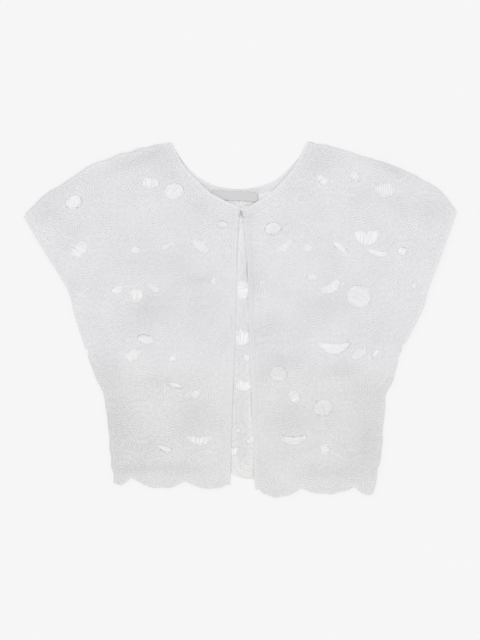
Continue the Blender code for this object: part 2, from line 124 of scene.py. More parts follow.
# The right front: a lace panel worked in mercerised cotton in round wheels, each a ring of chain with rounds
# of trebles about it, joined where they meet. It lies on the back, cap sleeve and all, and isn't quite flat.
# Its sizes, and those of all pieces after it, are in millimetres.
LACE_HIGH = 1.2
WEB_HIGH = 1.33
WEB_THICK = 0.5
WHEEL_COLUMN = np.array((76.7, 0.0))
WHEEL_ROW = np.array((-31.0, -79.0))
HEM_ROOM = 52.0
WHEEL_DOME = 1.0
DOME_REACH = 34.0
HUB_RADIUS = 3.2
HUB_LINKS = 7
SEAM_LINKS = 52
# The rounds of a wheel: where each starts and ends from the hub, and its number of trebles
WHEEL_ROUNDS = ((4.2, 13.0, 14), (13.0, 22.0, 27), (22.0, 31.0, 38), (31.0, 40.0, 50), (40.0, 49.0, 62))
# Slots are left open in some wheels, in a crescent below the hub or a short row above it: which way in degrees,
# the least and the most that they spread to each side, and the share of the wheels that have them
OPEN_ROUNDS = {22.0: (-92, 14, 50, 0.7), 31.0: (88, 8, 26, 0.5)}
# How wide and how high each kind of strand is, and how far above the lace's middle it lies. They are drawn
# about twice as coarse as real ones, so that they show.
POST_WIDE = 2.2
TREBLE = (POST_WIDE, 1.7, 0.0)
CHAIN = (1.7, 1.7, 0.3)
RIM_CHAIN = (1.9, 1.9, 0.15)
SHORT_TREBLE = (1.5, 1.2, 0.1)
LOOSE_CHAIN = (1.0, 0.9, -0.2)
GAP_BAR = (1.9, 1.4, 0.1)
LINK_LONG = 4.6
LINK_LONGEST = 12.0
POST_SHORTEST = 2.8
FAR = 1000.0
PLY_LONG = 2.4
# How far strands and slots keep from an edge, and strands from a slot in the back
POST_ROOM = 2.3
SLOT_ROOM = 3.0
EDGE_ROOM = 0.75
WINDOW_ROOM = 1.7
SMALL_GAP = 10.0
# How far a panel's edge wanders, and where it does: along the shoulder and side seams, clear of the neck and of
# the armholes, and along the hem, clear of the opening
WANDER = 1.0
SEAMS_FROM = 120.0
ARMHOLE_FOOT, ARMHOLE_TOP = -50.0, 160.0
HEM_UNDER = -180.0
OPENING_AT, OPENING_HALF = 4.0, 32.0
# A panel's outline is drawn in steps this long, with the corners left that turn by more degrees than this
OUTLINE = (3.0, 36)
# From where to where the back shows between the fronts
STRIP_FROM, STRIP_TO = -14.0, 22.0


def spans(vectors):
    """How long each vector is."""
    return np.linalg.norm(vectors, axis=1)


def ways_at(angles):
    """The unit vector at each angle."""
    return np.column_stack([np.cos(angles), np.sin(angles)])


def leftward(ways):
    """Each way turned a quarter to the left."""
    return np.column_stack([-ways[:, 1], ways[:, 0]])


def linked(ring):
    """A link from each point of a ring to the next."""
    return np.stack([ring, np.roll(ring, -1, 0)], 1)


def cad_points(node):
    """The corners of a CAD node in millimetres, each once, and its triangles."""
    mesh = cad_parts[node].data
    mesh.calc_loop_triangles()
    points = np.empty(len(mesh.vertices) * 3)
    mesh.vertices.foreach_get("co", points)
    triangles = np.empty(len(mesh.loop_triangles) * 3, int)
    mesh.loop_triangles.foreach_get("vertices", triangles)
    places, index = np.unique(np.round(points.reshape(-1, 3) * 1e5), axis=0, return_inverse=True)
    return places / 100, index.reshape(-1)[triangles].reshape(-1, 3)


def underside(node):
    """The corners of a CAD node, and those of its triangles that face down."""
    points, triangles = cad_points(node)
    first, second, third = (points[triangles[:, i]] for i in range(3))
    normals = np.cross(second - first, third - first)
    return points, triangles[normals[:, 2] < -0.5 * spans(normals)]


def open_edges(triangles):
    """Edges with a triangle on one side only, each from its start to its end."""
    edges = {(int(t[i]), int(t[(i + 1) % 3])) for t in triangles for i in range(3)}
    return [edge for edge in edges if edge[::-1] not in edges]


def rings_of(node):
    """The edge of a panel and of each gap in it, the panel's own edge first. Lace has no straight edges, so the
    edge wanders a little, the same way on two panels that are joined there, but not where an edging is sewn on."""
    points, triangles = underside(node)
    follow = dict(sorted(open_edges(triangles)))
    rings = []
    while follow:
        start, place = follow.popitem()
        ring = [start]
        while place != start:
            ring.append(place)
            place = follow.pop(place)
        rings.append(points[ring][::-1, :2])
    rings = sorted(rings, key=lambda ring: -np.ptp(ring[:, 0]))
    x, y = rings[0][:, 0], rings[0][:, 1]
    wander = WANDER * np.column_stack([np.sin(0.37 * x + 0.29 * y), np.sin(0.31 * x - 0.41 * y + 1.3)])
    off_armholes = np.clip(np.maximum(y - ARMHOLE_TOP, ARMHOLE_FOOT - y) / 10, 0, 1)
    at_seams = np.clip((abs(x) - SEAMS_FROM) / 20, 0, 1) * off_armholes
    at_hem = (y < HEM_UNDER) * np.clip((abs(x - OPENING_AT) - OPENING_HALF) / 10, 0, 1)
    rings[0] = rings[0] + wander * np.maximum(at_seams, at_hem)[:, None]
    return rings


def curved(ring, spacing, sharp=None):
    """A closed ring made smooth, with a point about every spacing. Corners sharper than sharp degrees stay."""
    ahead = np.roll(ring, -1, 0) - ring
    lengths = spans(ahead)
    ways = ahead / lengths[:, None]
    before = np.roll(ways, 1, 0)
    tangents = ways + before
    tangents /= spans(tangents)[:, None]
    corner = np.zeros(len(ring), bool)
    if sharp is not None:
        corner = (ways * before).sum(1) < math.cos(math.radians(sharp))
    found = []
    for i in range(len(ring)):
        j = (i + 1) % len(ring)
        leave = (ways[i] if corner[i] else tangents[i]) * lengths[i]
        arrive = (ways[i] if corner[j] else tangents[j]) * lengths[i]
        parts = max(1, round(float(lengths[i]) / spacing))
        for part in range(parts):
            t = part / parts
            found.append(
                (2 * t**3 - 3 * t**2 + 1) * ring[i]
                + (t**3 - 2 * t**2 + t) * leave
                + (3 * t**2 - 2 * t**3) * ring[j]
                + (t**3 - t**2) * arrive
            )
    return np.array(found)


def inside(points, rings):
    """Which points are in the cloth: inside an odd number of rings."""
    odd = np.zeros(len(points), bool)
    for ring in rings:
        for (x0, y0), (x1, y1) in zip(ring, np.roll(ring, -1, 0)):
            if y0 == y1:
                continue
            between = (y0 > points[:, 1]) != (y1 > points[:, 1])
            crossing = x0 + (points[:, 1] - y0) * (x1 - x0) / (y1 - y0)
            odd ^= between & (points[:, 0] < crossing)
    return odd


def nearest(points, others):
    """How far each point is from the nearest of the others."""
    tree = KDTree(len(others))
    for number, (x, y) in enumerate(others.tolist()):
        tree.insert((x, y, 0), number)
    tree.balance()
    return np.array([tree.find((x, y, 0))[2] for x, y in points.tolist()])


def clearance(points, rings):
    """How far each point in the cloth is from its edges, and below nought outside it."""
    away = nearest(points, np.vstack([curved(ring, 1.5) for ring in rings]))
    return np.where(inside(points, rings), away, -away)


def ridges(points, rows):
    """Soft creases: each row is across, up, long, wide, turn in degrees and height, below nought in a trough."""
    rise = np.zeros(len(points))
    for across, up, long, wide, turn, height in rows:
        angle = math.radians(turn)
        east = points[:, 0] - across
        north = points[:, 1] - up
        along = (east * math.cos(angle) + north * math.sin(angle)) / long
        aside = (north * math.cos(angle) - east * math.sin(angle)) / wide
        rise += height * np.exp(-along * along - aside * aside)
    return rise


def lie_of(node, creases=(), step=4.0, pads=()):
    """How high a panel's underside lies, as a smooth grid read off the CAD node, with the creases added. A pad
    is a ring and a height, or a function that gives one: within the ring the cloth stands up that much."""
    points, triangles = underside(node)
    tree = BVHTree.FromPolygons(points.tolist(), triangles.tolist())
    low = points.min(0)[:2] - 3 * step
    counts = np.ceil((points.max(0)[:2] + 3 * step - low) / step).astype(int)
    grid = np.empty((counts[1], counts[0]))
    for row in range(counts[1]):
        for column in range(counts[0]):
            x, y = low + step * np.array((column, row))
            hit = tree.ray_cast(Vector((x, y, -50)), Vector((0, 0, 1)))[0]
            if hit is None:
                hit = tree.find_nearest(Vector((x, y, 4)))[0]
            grid[row, column] = hit.z
    for _ in range(6):
        wide = np.pad(grid, 1, mode="edge")
        grid = (wide[1:-1, :-2] + 2 * wide[1:-1, 1:-1] + wide[1:-1, 2:]) / 4
        wide = np.pad(grid, 1, mode="edge")
        grid = (wide[:-2, 1:-1] + 2 * wide[1:-1, 1:-1] + wide[2:, 1:-1]) / 4
    rows, columns = np.indices(grid.shape)
    places = np.column_stack([low[0] + step * columns.ravel(), low[1] + step * rows.ravel()])
    rise = ridges(places, creases)
    for ring, much in pads:
        near = np.flatnonzero(spans(places - ring.mean(0)) < spans(ring - ring.mean(0)).max() + 8)
        t = np.clip((clearance(places[near], [ring]) + 3.5) / 3.0, 0, 1)
        level = much(places[near]) if callable(much) else much
        rise[near] = np.maximum(rise[near], level * t * t * (3 - 2 * t))
    return {"low": low, "step": step, "grid": grid + rise.reshape(grid.shape)}


def height(lie, points):
    """The height of a lie's grid at each point."""
    grid = lie["grid"]
    place = (points - lie["low"]) / lie["step"]
    column = np.clip(place[:, 0], 0, grid.shape[1] - 1.001)
    row = np.clip(place[:, 1], 0, grid.shape[0] - 1.001)
    i, j = row.astype(int), column.astype(int)
    v, u = row - i, column - j
    lower = grid[i, j] * (1 - u) + grid[i, j + 1] * u
    upper = grid[i + 1, j] * (1 - u) + grid[i + 1, j + 1] * u
    return lower * (1 - v) + upper * v


def wheels_of(first, hem_row, rings):
    """The middles of the wheels that reach into a panel. The lowest row has one to each scallop of the hem."""
    rows, columns = np.mgrid[-2:9, -10:11]
    middles = np.array(first) + rows.reshape(-1, 1) * WHEEL_ROW + columns.reshape(-1, 1) * WHEEL_COLUMN
    middles = middles[clearance(middles, rings[:1]) > -50]
    hem = np.array(hem_row, float)
    middles = middles[(nearest(middles, hem) > HEM_ROOM) & (middles[:, 1] > hem[:, 1].min() + HEM_ROOM / 2)]
    return np.vstack([middles, hem])


def dome(points, wheels):
    """The wheels of a front stand up a little from their rims to their hubs. Those of the back lie flat."""
    if wheels is None:
        return 0.0
    t = np.clip(1 - nearest(points, wheels) / DOME_REACH, 0, 1)
    return WHEEL_DOME * t * t * (3 - 2 * t)


# Where the cotton's white is painted a shade deeper: where the crochet is worked closest, at the wheels' hubs, the
# neck and the fine mesh low on each side; as painted shade on the back neck band above the label; and in other listed
# spots and strips, such as the strip of back between the fronts. The rows are across, up, long, wide, turn in
# degrees, and how much, as in ridges.
CLOSE_WORK_AND_SHADE = (
    (-126, 249, 34, 26, 0, 0.45), (131, 247, 34, 26, 0, 0.5), (-87, 84, 32, 24, 20, 0.4), (-140, 15, 36, 28, 0, 0.6),
    (139, 24, 38, 26, 0, 0.6), (40, -13, 26, 26, 0, 0.5), (-69, -151, 44, 34, 0, 0.6), (74, -146, 42, 34, 0, 0.35),
    (3, -20, 13, 180, -2, 1.0), (6, -185, 13, 50, 0, 0.8), (-2, 153, 14, 22, 0, 0.2), (-196, -170, 26, 80, 0, 0.9),
    (198, -180, 26, 80, 0, 0.65), (-208, -86, 22, 26, 0, 0.4), (212, -110, 20, 30, 0, 0.1), (-262, 46, 8, 10, 0, 0.3),
    (-60, 62, 26, 8, 0, 0.5), (240, 232, 40, 8, -25, 0.7), (-170, 242, 50, 9, 20, 0.5), (-300, 165, 22, 26, 30, 0.5),
    (300, 170, 24, 26, -30, 0.3), (-60, 175, 16, 18, 0, 0.35), (60, -60, 26, 10, -10, 0.6),
    (-120, -95, 40, 12, 0, 0.4),
    (150, -80, 40, 12, 0, 0.4), (-150, -230, 45, 10, 5, 0.7), (130, -235, 60, 12, 0, 0.5), (20, 60, 14, 30, 0, 0.4),
    (-90, -232, 40, 10, 0, 0.5), (-62, 0, 34, 44, 0, 0.4), (-155, 77, 26, 18, 0, 0.3), (248, 172, 24, 24, 0, 0.4),
    (188, 188, 26, 20, 0, 0.3), (-142, -196, 28, 20, 0, 0.35), (34, -88, 24, 24, 0, 0.3), (165, -203, 28, 20, 0, 0.35),
    (62, -208, 26, 14, 0, 0.25), (57, -81, 16, 12, 0, 0.7), (127, -137, 14, 12, 0, 0.7),
    (-28, 148, 12, 9, 0, 0.6), (51, 141, 14, 10, 0, 0.5), (-10, 204, 36, 7, -4, 1.0), (186, 35, 16, 14, 0, 0.4),
)


def closeness_and_painted_shade(points):
    """From nought in open lace to one in close work or in painted shade."""
    return np.clip(ridges(points, CLOSE_WORK_AND_SHADE), 0, 1)


def model_strand(name, sides, rings, flat, twist):
    """One strand of a stitch: a ball drawn out along X, flattened a little, each ring turned as plied yarn is."""
    bpy.ops.object.select_all(action="DESELECT")
    bpy.ops.mesh.primitive_uv_sphere_add(segments=sides, ring_count=rings + 1, radius=0.5)
    strand = bpy.context.object
    strand.name = name
    bpy.ops.object.mode_set(mode="EDIT")
    bpy.ops.mesh.select_all(action="SELECT")
    bpy.ops.transform.rotate(value=math.pi / 2, orient_axis="Y", center_override=(0, 0, 0))
    bpy.ops.object.mode_set(mode="OBJECT")
    for number in range(1, rings + 1):
        place = -0.5 * math.cos(math.pi * number / (rings + 1))
        full = math.sqrt(max(0.25 - place * place, 1e-6)) * 2
        even = 0.5 + 0.5 * full
        for vertex in strand.data.vertices:
            vertex.select = abs(vertex.co.x - place) < 1e-4
        bpy.ops.object.mode_set(mode="EDIT")
        bpy.ops.transform.resize(value=(1, even / full, flat * even / full), center_override=(place, 0, 0))
        bpy.ops.transform.rotate(value=twist * number, orient_axis="X", center_override=(place, 0, 0))
        bpy.ops.object.mode_set(mode="OBJECT")
    mesh = strand.data
    form = {
        "points": np.array([vertex.co for vertex in mesh.vertices]),
        "faces": [list(polygon.vertices) for polygon in mesh.polygons],
        "uv": np.array([loop.uv for loop in mesh.uv_layers[0].data]),
    }
    bpy.data.objects.remove(strand)
    return form


def new_mesh(name, points, corners, sizes, material, uv=None):
    """An object from points in millimetres, its faces' corners in a row and how many corners each face has."""
    mesh = bpy.data.meshes.new(name)
    mesh.vertices.add(len(points))
    mesh.vertices.foreach_set("co", (np.asarray(points) * MM).ravel())
    mesh.loops.add(len(corners))
    mesh.loops.foreach_set("vertex_index", np.asarray(corners, np.int32))
    mesh.polygons.add(len(sizes))
    mesh.polygons.foreach_set("loop_start", np.concatenate([[0], np.cumsum(sizes)[:-1]]).astype(np.int32))
    mesh.update(calc_edges=True)
    if uv is not None:
        mesh.uv_layers.new(name="yarn").data.foreach_set("uv", np.asarray(uv, np.float32).ravel())
    # Each point's close work and painted shade, which deepen the cotton's white
    shade = mesh.attributes.new("closeness_and_painted_shade", "FLOAT", "POINT")
    shade.data.foreach_set("value", closeness_and_painted_shade(np.asarray(points)[:, :2]).astype(np.float32))
    mesh.materials.append(material)
    mesh.shade_smooth()
    obj = bpy.data.objects.new(name, mesh)
    bpy.context.scene.collection.objects.link(obj)
    return obj


def copied(name, form, starts, ends, wide, high, material):
    """Copies of one strand, each from its start to its end, as one object."""
    along = ends - starts
    length = spans(along)[:, None]
    way = along / length
    side = np.cross((0.0, 0.0, 1.0), way)
    side /= spans(side)[:, None]
    up = np.cross(way, side)
    x, y, z = (form["points"][:, i][None, :, None] for i in range(3))
    middle = (starts + ends) / 2
    points = middle[:, None] + x * along[:, None] + y * (side * wide)[:, None] + z * (up * high)[:, None]
    count = len(form["points"])
    flat = np.concatenate([np.array(face) for face in form["faces"]])
    corners = (flat[None, :] + count * np.arange(len(starts))[:, None]).ravel()
    sizes = np.tile([len(face) for face in form["faces"]], len(starts))
    uv = np.repeat(form["uv"][None], len(starts), 0)
    uv[:, :, 1] *= length / PLY_LONG
    return new_mesh(name, points.reshape(-1, 3), corners, sizes, material, uv.reshape(-1, 2))


def painted_light_tint_below(tree, place, colour):
    """A painted cast of the light: the cotton's faint lilac white goes over to a plain greyer white towards the hem.
    """
    split = add_node(tree, "SeparateXYZ", {0: place})
    low = add_node(tree, "MapRange", {"Value": split.outputs["Y"], 1: 0.02, 2: -0.2}).outputs[0]
    # The light's cast, painted in: faintly lilac above, greyer and warmer towards the hem
    tint = add_node(tree, "Mix", {0: low, 6: from_hex("fffeff"), 7: from_hex("fdfcfa")}, data_type="RGBA")
    return add_node(
        tree, "Mix", {0: 1.0, 6: colour, 7: tint.outputs[2]}, data_type="RGBA", blend_type="MULTIPLY"
    ).outputs[2]


def cotton_white(tree, place, pale, deep):
    """The white of cotton: pale, and a shade deeper in clouds some 60 mm wide, where it is worked close, and where
    shade is painted into it.
    """
    cloud = add_node(tree, "TexNoise", {"Vector": place, "Scale": 16.0, "Detail": 3.0}).outputs["Fac"]
    # How close the work is at each point, together with the painted shade
    close = add_node(tree, "Attribute", attribute_name="closeness_and_painted_shade").outputs["Fac"]
    much = add_node(tree, "Math", {0: cloud, 1: 1.1, 2: -0.45}, operation="MULTIPLY_ADD").outputs[0]
    total = add_node(tree, "Math", {0: much, 1: close}, operation="ADD", use_clamp=True).outputs[0]
    return add_node(tree, "Mix", {0: total, 6: from_hex(pale), 7: from_hex(deep)}, data_type="RGBA").outputs[2]


def cotton_yarn(name, pale, deep):
    """Mercerised cotton yarn, plied from two threads. It gives the eye a soft white with a slight lustre along
    each strand, and fine slanting plies."""
    material, tree, shader = new_material(name)
    place = add_node(tree, "TexCoord").outputs["Object"]
    uv = add_node(tree, "UVMap", uv_map="yarn").outputs[0]
    round_it, along, _ = add_node(tree, "SeparateXYZ", {0: uv}).outputs
    turn = add_node(tree, "Math", {0: round_it, 1: 2.0, 2: along}, operation="MULTIPLY_ADD").outputs[0]
    angle = add_node(tree, "Math", {0: turn, 1: math.tau}, operation="MULTIPLY").outputs[0]
    ply = add_node(tree, "Math", {0: angle}, operation="SINE").outputs[0]
    bump = add_node(tree, "Bump", {"Strength": 0.5, "Distance": 0.0002, "Height": ply})
    set_inputs(shader, {
        "Base Color": painted_light_tint_below(tree, place, cotton_white(tree, place, pale, deep)), "Normal": bump.outputs[0],
        "Roughness": 0.645, "Specular IOR Level": 0.3, "Sheen Weight": 0.12, "Sheen Roughness": 0.5,
    })
    return material


def lace_ground(name, pale, deep):
    """The small mesh between the stitches, in the same cotton. It gives the eye a matt net of shallow pits about
    3 mm apart, with painted shade in them, two or three times as coarse as fine chains are, so that it shows."""
    material, tree, shader = new_material(name)
    place = add_node(tree, "TexCoord").outputs["Object"]
    net = add_node(
        tree, "TexVoronoi", {"Vector": place, "Scale": 350.0, "Randomness": 0.7}, feature="DISTANCE_TO_EDGE"
    ).outputs["Distance"]
    thread = add_node(tree, "MapRange", {"Value": net, 1: 0.02, 2: 0.3, 3: 1.0, 4: 0.0}).outputs[0]
    # Painted shade: the middles of the pits are greyed, as if shade fell in them
    painted_pit_shade = add_node(tree, "Mix", {0: thread, 6: (0.82, 0.82, 0.83, 1), 7: WHITE}, data_type="RGBA").outputs[2]
    shaded = add_node(
        tree, "Mix", {0: 0.38, 6: cotton_white(tree, place, pale, deep), 7: painted_pit_shade},
        data_type="RGBA", blend_type="MULTIPLY",
    )
    bump = add_node(tree, "Bump", {"Strength": 0.6, "Distance": 0.0004, "Height": thread})
    set_inputs(shader, {
        "Base Color": painted_light_tint_below(tree, place, shaded.outputs[2]), "Normal": bump.outputs[0],
        "Roughness": 0.75, "Specular IOR Level": 0.25, "Sheen Weight": 0.1,
    })
    return material


def cell_reach(ways, number, wheels):
    """How far a wheel reaches each way before a neighbour's begins, and which neighbour that is."""
    around = np.delete(wheels - wheels[number], number, 0)
    others = np.delete(np.arange(len(wheels)), number)
    towards = ways @ around.T
    reach = np.where(towards > 1e-6, (around**2).sum(1) / 2 / np.maximum(towards, 1e-6), np.inf)
    return reach.min(1), others[reach.argmin(1)]


def longest_clear(starts, ends, rings, room):
    """Each strand cut back to its longest stretch in the cloth that is clear of the edges."""
    samples = 7
    steps = np.linspace(0, 1, samples)
    places = starts[:, None] + (ends - starts)[:, None] * steps[None, :, None]
    clear = (clearance(places.reshape(-1, 2), rings) > room).reshape(-1, samples)
    best = np.zeros((len(starts), 2), int)
    run = np.zeros(len(starts), int)
    for i in range(samples):
        run = np.where(clear[:, i], run + 1, 0)
        longer = run > best[:, 1] - best[:, 0]
        best[longer] = np.column_stack([i + 1 - run, np.full(len(run), i + 1)])[longer]
    kept = best[:, 1] - best[:, 0] >= 3
    rows = np.arange(len(starts))
    first = places[rows, np.minimum(best[:, 0], samples - 1)]
    last = places[rows, np.maximum(best[:, 1] - 1, 0)]
    return first, last, kept


def slot_between(middle, way, bottom, top, pitch):
    """The open slot between two trebles, as a six-sided ring, or None where there is no room for one."""
    across = np.array((-way[1], way[0]))
    sides = []
    for radius, share in ((bottom, 0.6), ((bottom + top) / 2, 1.0), (top, 0.6)):
        wide = share * (radius * pitch - POST_WIDE - 0.8) / 2
        if wide < 0.22:
            return None
        sides.append((middle + way * radius, across * wide))
    return [point + out for point, out in sides] + [point - out for point, out in sides[::-1]]


def clear_of(shapes, rings, room):
    """Which shapes, each a row of points, are in the cloth and that far from its edges at every point."""
    return (clearance(shapes.reshape(-1, 2), rings) > room).reshape(len(shapes), -1).all(1)


def off_windows(strands, lines):
    """The strands that cross no window, each tried at six places against the windows' middle lines."""
    steps = [strands[:, 0] * (1 - s) + strands[:, 1] * s for s in (0, 0.2, 0.4, 0.6, 0.8, 1)]
    return strands[np.min([nearest(step, lines) for step in steps], 0) > WINDOW_ROOM]


def worked_wheels(wheels, rings, seed, behind, windows=None):
    """The trebles of every wheel, the chain links of its rounds and seams, and the slots between its trebles.
    Where windows are given, they are the slots, and no strand crosses them."""
    rng = np.random.default_rng(seed)
    posts, links, slots = [], [], []
    for number, middle in enumerate(wheels):
        angles = math.tau * (np.arange(HUB_LINKS) + rng.uniform()) / HUB_LINKS
        links.append(linked(middle + HUB_RADIUS * ways_at(angles)))
        for inner, outer, count in WHEEL_ROUNDS:
            pitch = math.tau / count
            open_way, least, most, share = OPEN_ROUNDS.get(inner, (0, 0, 0, 0.0))
            open_way = math.radians(open_way + rng.normal(0, 9))
            spread = math.radians(rng.uniform(least, most)) if rng.uniform() < share else -1.0
            turn = rng.uniform() * pitch
            angles = turn + pitch * (np.arange(count) + rng.normal(0, 0.05, count))
            ways = ways_at(angles)
            reach = cell_reach(ways, number, wheels)[0]
            tips = np.minimum(outer - 0.4, reach - 1.4)
            lean = rng.normal(0.0, 0.02, count)[:, None] * leftward(ways)
            feet = middle + ways * (inner + 0.5)
            heads = middle + (ways + lean) * tips[:, None]
            posts.append(np.stack([feet, heads], 1)[tips - inner > 3.2])
            edges = (angles[:, None] + pitch * np.array((-0.5, 0.5)))[:, :, None]
            rim = middle + outer * np.concatenate([np.cos(edges), np.sin(edges)], 2)
            links.append(rim[reach > outer + 1.0])
            for i in range(count):
                between = turn + pitch * (i + 0.5)
                top = min(tips[i], tips[(i + 1) % count]) - 1.9
                away = abs((between - open_way + math.pi) % math.tau - math.pi)
                if top - inner < 5.3 or away > spread or rng.uniform() < 0.12:
                    continue
                way = np.array((math.cos(between), math.sin(between)))
                slot = slot_between(middle, way, inner + 2.3, top, pitch)
                if slot is not None:
                    slots.append(slot)
        # Each seam between two wheels is worked once, with the first of them. A side with no neighbour ends FAR out,
        # where its links are dropped as out of the cloth.
        ways = ways_at(math.tau * np.arange(SEAM_LINKS + 1) / SEAM_LINKS)
        seam = middle + ways * np.minimum(cell_reach(ways, number, wheels)[0], FAR)[:, None]
        neighbour = cell_reach((ways[1:] + ways[:-1]) / 2, number, wheels)[1]
        links.append(np.stack([seam[:-1], seam[1:]], 1)[neighbour > number])
    posts = np.vstack(posts)
    first, last, kept = longest_clear(posts[:, 0], posts[:, 1], rings, POST_ROOM)
    posts = np.stack([first, last], 1)[kept & (spans(last - first) > POST_SHORTEST)]
    links = np.vstack(links)
    links = links[clear_of(links, rings, POST_ROOM)]
    links = links[spans(links[:, 1] - links[:, 0]) < LINK_LONGEST]
    slots = np.array(slots) if windows is None else windows
    clear = clear_of(slots, rings, SLOT_ROOM) & clear_of(slots, behind, 4.5 if windows is None else SLOT_ROOM)
    slots = slots[clear & (closeness_and_painted_shade(slots.mean(1)) < 0.35)]
    if windows is not None:
        heads = (slots[:, 0] + slots[:, 5]) / 2
        lines = np.concatenate([slots.mean(1) * (1 - s) + heads * s for s in (-1, -0.5, 0, 0.5, 1)])
        posts, links = off_windows(posts, lines), off_windows(links, lines)
    return posts, links, slots


def edge_links(ring, inset, pace):
    """Chain links along a ring, set in from it: inset is above nought on the left as the ring runs."""
    lengths = spans(np.roll(ring, -1, 0) - ring)
    whole = lengths.sum()
    count = max(6, round(whole / pace))
    marks = np.concatenate([[0], np.cumsum(lengths)])
    closed = np.vstack([ring, ring[:1]])
    wanted = whole * np.arange(count) / count
    places = np.column_stack([np.interp(wanted, marks, closed[:, i]) for i in (0, 1)])
    along = np.roll(places, -1, 0) - np.roll(places, 1, 0)
    along /= spans(along)[:, None]
    return linked(places + inset * leftward(along))


def twisted(links, lean=0.35):
    """Links leant to one side, so that they overlap as a chain's do."""
    along = links[:, 1] - links[:, 0]
    side = leftward(along) / spans(along)[:, None]
    reach = along * 0.14
    return np.stack([links[:, 0] - side * lean - reach, links[:, 1] + side * lean + reach], 1)


def web_mesh(name, rings, slots, lie, wheels, material, spacing=6.0):
    """The ground of a panel: a thin closed shell with the gaps and slots cut through."""
    loops = [curved(rings[0], *OUTLINE)] + [curved(ring, 2.6) for ring in rings[1:]] + list(slots)
    edge_points = np.vstack(loops)
    low, high = edge_points.min(0), edge_points.max(0)
    xs, ys = np.meshgrid(np.arange(low[0], high[0], spacing), np.arange(low[1], high[1], spacing * 0.866))
    xs = xs + spacing / 2 * (np.arange(xs.shape[0]) % 2)[:, None]
    loose = np.column_stack([xs.ravel(), ys.ravel()])
    loose = loose[inside(loose, loops[: len(rings)])]
    cores = [slots[:, sides].mean(1) for sides in (slice(0, 3), slice(None), [0, 5], [2, 3])]
    loose = loose[nearest(loose, np.vstack([edge_points, *cores])) > 2.4]
    corners = [Vector(point) for point in np.vstack([edge_points, loose])]
    edges = []
    start = 0
    for loop in loops:
        edges += [(start + i, start + (i + 1) % len(loop)) for i in range(len(loop))]
        start += len(loop)
    found, _, faces = delaunay_2d_cdt(corners, edges, [], 0, 1e-5)[:3]
    flat = np.array([tuple(point) for point in found])
    faces = np.array(faces)
    faces = faces[inside(flat[faces].mean(1), loops)]
    used = np.unique(faces)
    faces = np.searchsorted(used, faces)
    flat = flat[used]
    middle = height(lie, flat) + WEB_HIGH + dome(flat, wheels)
    upper = np.column_stack([flat, middle + WEB_THICK / 2])
    lower = np.column_stack([flat, middle - WEB_THICK / 2])
    count = len(flat)
    rim = np.array(open_edges(faces))
    walls = np.column_stack([rim[:, 1], rim[:, 0], rim[:, 0] + count, rim[:, 1] + count])
    points = np.vstack([upper, lower])
    corners = np.concatenate([faces.ravel(), (faces[:, ::-1] + count).ravel(), walls.ravel()])
    sizes = [3] * (2 * len(faces)) + [4] * len(walls)
    obj = new_mesh(name, points, corners, sizes, material)
    obj.data.set_sharp_from_angle(angle=math.radians(50))
    return obj


def on_lie(pairs, lie, wheels, lift):
    """Starts and ends of strands, at their height on the panel."""
    return [
        np.column_stack([flat, height(lie, flat) + LACE_HIGH + lift + dome(flat, wheels)])
        for flat in (pairs[:, 0], pairs[:, 1])
    ]


treble = model_strand("treble", sides=5, rings=5, flat=0.8, twist=0.55)
chain_link = model_strand("chain_link", sides=5, rings=3, flat=0.85, twist=0.5)
# Combed cotton, bleached and mercerised: a cool, slightly lilac white.
lace_yarn = cotton_yarn("mercerised_cotton_yarn", "eeeef0", "e2e2e4")
lace_mesh = lace_ground("fine_cotton_mesh", "ededef", "e1e1e3")
back_rings = rings_of("back")


def gaps_of(rings, behind):
    """Each gap, its middle, how far it reaches from there at least and at most, and whether cloth lies behind."""
    for ring in rings:
        middle = ring.mean(0)
        reach = spans(ring - middle)
        yield ring, middle, reach.min(), reach.max(), inside(middle[None], behind)[0]


def across_gaps(rings, behind):
    """The fine chains that fill the smallest gaps, where there is cloth behind: spokes from two knotted rounds."""
    found = []
    for ring, middle, _, most, backed in gaps_of(rings, behind):
        long = most * 2
        if long > SMALL_GAP or not backed:
            continue
        count = round(1.25 * long)
        ways = ways_at(math.tau * np.arange(count) / count)
        for way in ways:
            within = [s for s in np.arange(1, 16, 0.4) if inside((middle + s * way)[None], [ring])[0]]
            found.append((middle + 0.2 * way, middle + (max(within) + 1.4) * way))
        knots = middle + 1.3 * ways
        found += list(zip(knots, np.roll(knots, -1, 0)))
    return np.array(found)


def into_gaps(rings, behind, seed):
    """Unjoined trebles that reach a little way into a wide open gap from its rim, each to its own length."""
    rng = np.random.default_rng(seed)
    found = []
    for ring, middle, half, _, backed in gaps_of(rings, behind):
        if half < 2.5 or backed:
            continue
        rim = edge_links(curved(ring, 1.0), 1.0, 3.0)[:, 0]
        away = rng.uniform() * math.tau
        for place in rim[rng.uniform(size=len(rim)) < 0.7]:
            inward = middle - place
            reach = np.linalg.norm(inward)
            inward = inward / reach
            much = 0.5 + 0.5 * math.cos(math.atan2(inward[1], inward[0]) - away)
            deep = 2.5 + half * (0.1 + 0.5 * much) * rng.uniform(0.3, 0.9)
            lean = rng.normal(0, 0.12) * np.array((-inward[1], inward[0]))
            found.append((place, place + (inward + lean) * min(deep, reach * 0.8)))
    return np.array(found)


